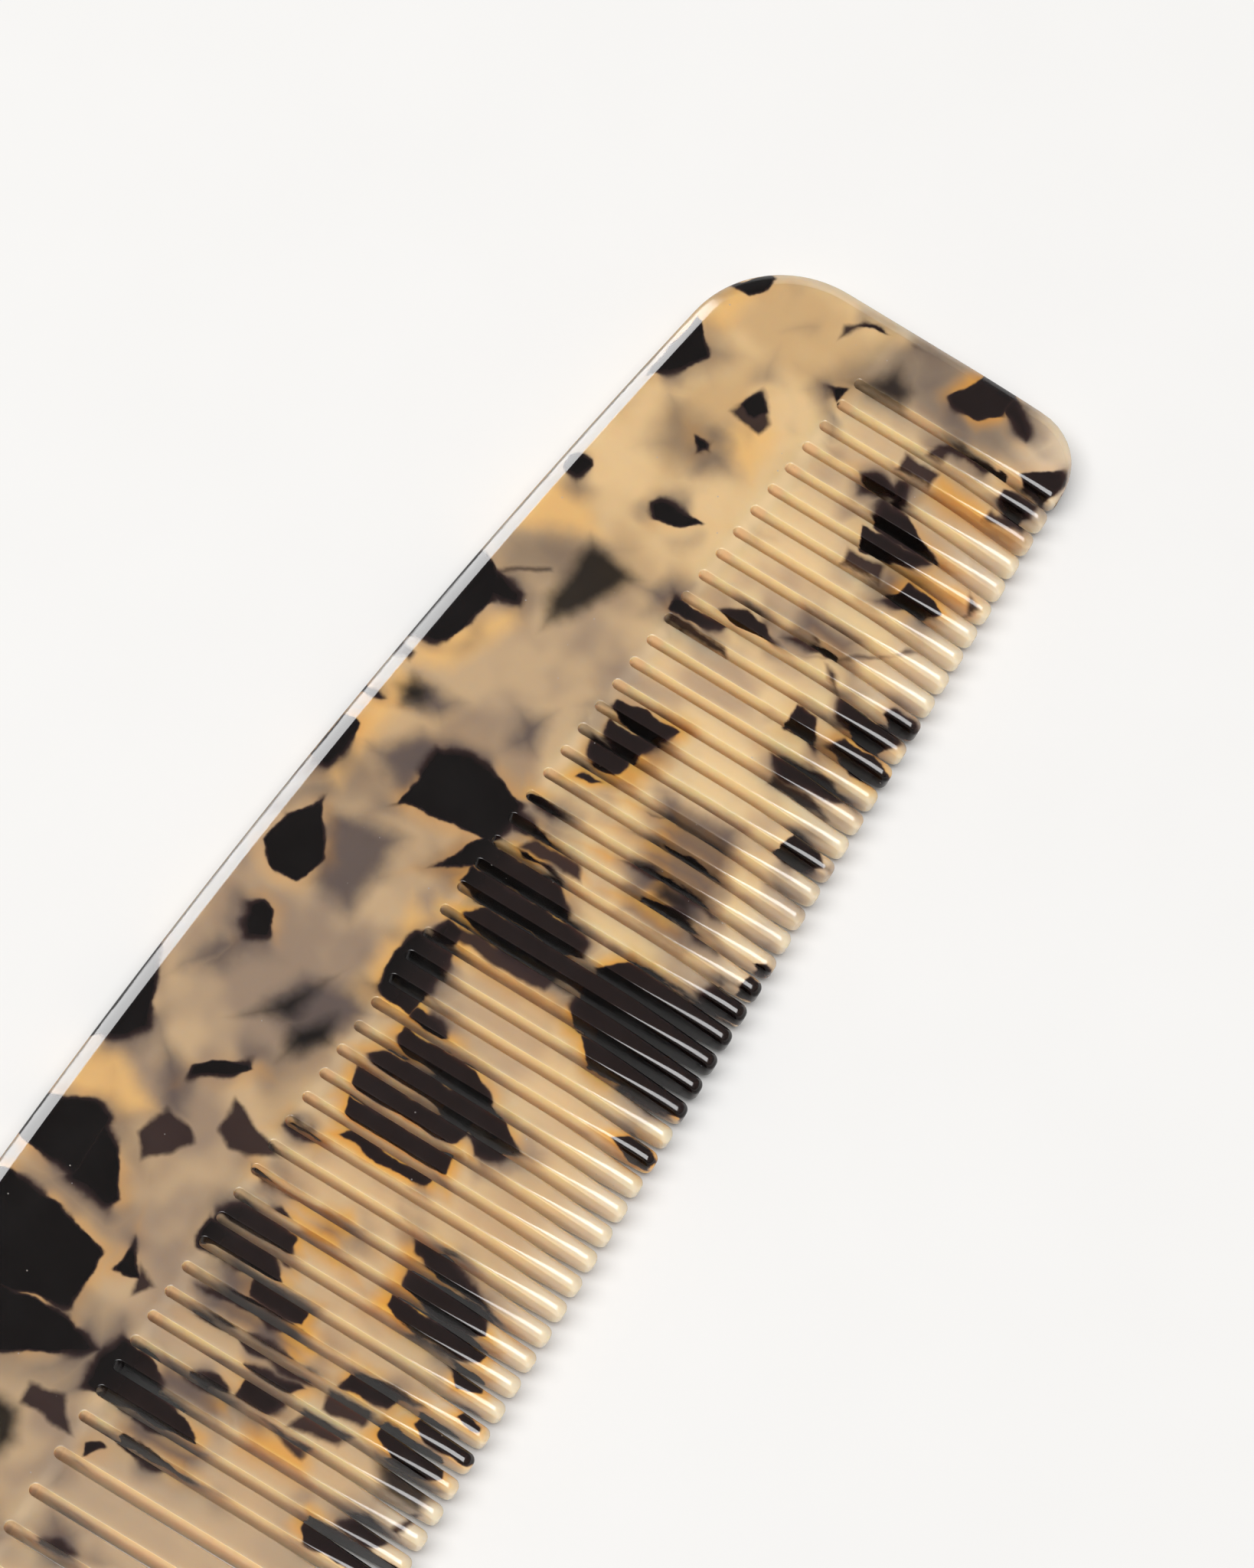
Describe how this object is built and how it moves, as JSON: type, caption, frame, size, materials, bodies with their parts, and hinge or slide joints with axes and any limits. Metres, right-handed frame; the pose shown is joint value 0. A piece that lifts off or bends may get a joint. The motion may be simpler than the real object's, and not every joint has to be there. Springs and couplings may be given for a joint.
{
  "type": "hair comb",
  "caption": "Flat hair comb in tortoiseshell acetate, with an arched back, fine teeth at one end and coarse teeth at the other.",
  "frame": {"origin": "bottom centre of the comb's box, with the comb lying flat", "axes": "+X along the comb towards its fine end, +Y towards its back, +Z through its thickness"},
  "size_m": [0.186, 0.0376, 0.0042],
  "materials": {
    "acetate": "hand-polished tortoiseshell cellulose acetate: translucent honey with near-black shards"
  },
  "bodies": {
    "root": {"coarse_end_guard": "acetate", "coarse_tooth_01": "acetate", "coarse_tooth_02": "acetate", "coarse_tooth_03": "acetate", "coarse_tooth_04": "acetate", "coarse_tooth_05": "acetate", "coarse_tooth_06": "acetate", "coarse_tooth_07": "acetate", "coarse_tooth_08": "acetate", "coarse_tooth_09": "acetate", "coarse_tooth_10": "acetate", "coarse_tooth_11": "acetate", "coarse_tooth_12": "acetate", "coarse_tooth_13": "acetate", "coarse_tooth_14": "acetate", "coarse_tooth_15": "acetate", "coarse_tooth_16": "acetate", "coarse_tooth_17": "acetate", "coarse_tooth_18": "acetate", "coarse_tooth_19": "acetate", "coarse_tooth_20": "acetate", "coarse_tooth_21": "acetate", "coarse_tooth_22": "acetate", "coarse_tooth_23": "acetate", "coarse_tooth_24": "acetate", "coarse_tooth_25": "acetate", "coarse_tooth_26": "acetate", "coarse_tooth_27": "acetate", "coarse_tooth_28": "acetate", "fine_end_guard": "acetate", "fine_teeth_01": "acetate", "fine_teeth_02": "acetate", "fine_teeth_03": "acetate", "fine_teeth_04": "acetate", "fine_teeth_05": "acetate", "fine_teeth_06": "acetate", "fine_teeth_07": "acetate", "fine_teeth_08": "acetate", "fine_teeth_09": "acetate", "fine_teeth_10": "acetate", "fine_teeth_11": "acetate", "fine_teeth_12": "acetate", "fine_teeth_13": "acetate", "fine_teeth_14": "acetate", "fine_teeth_15": "acetate", "middle_tooth": "acetate", "spine": "acetate"}
  },
  "joints": []
}
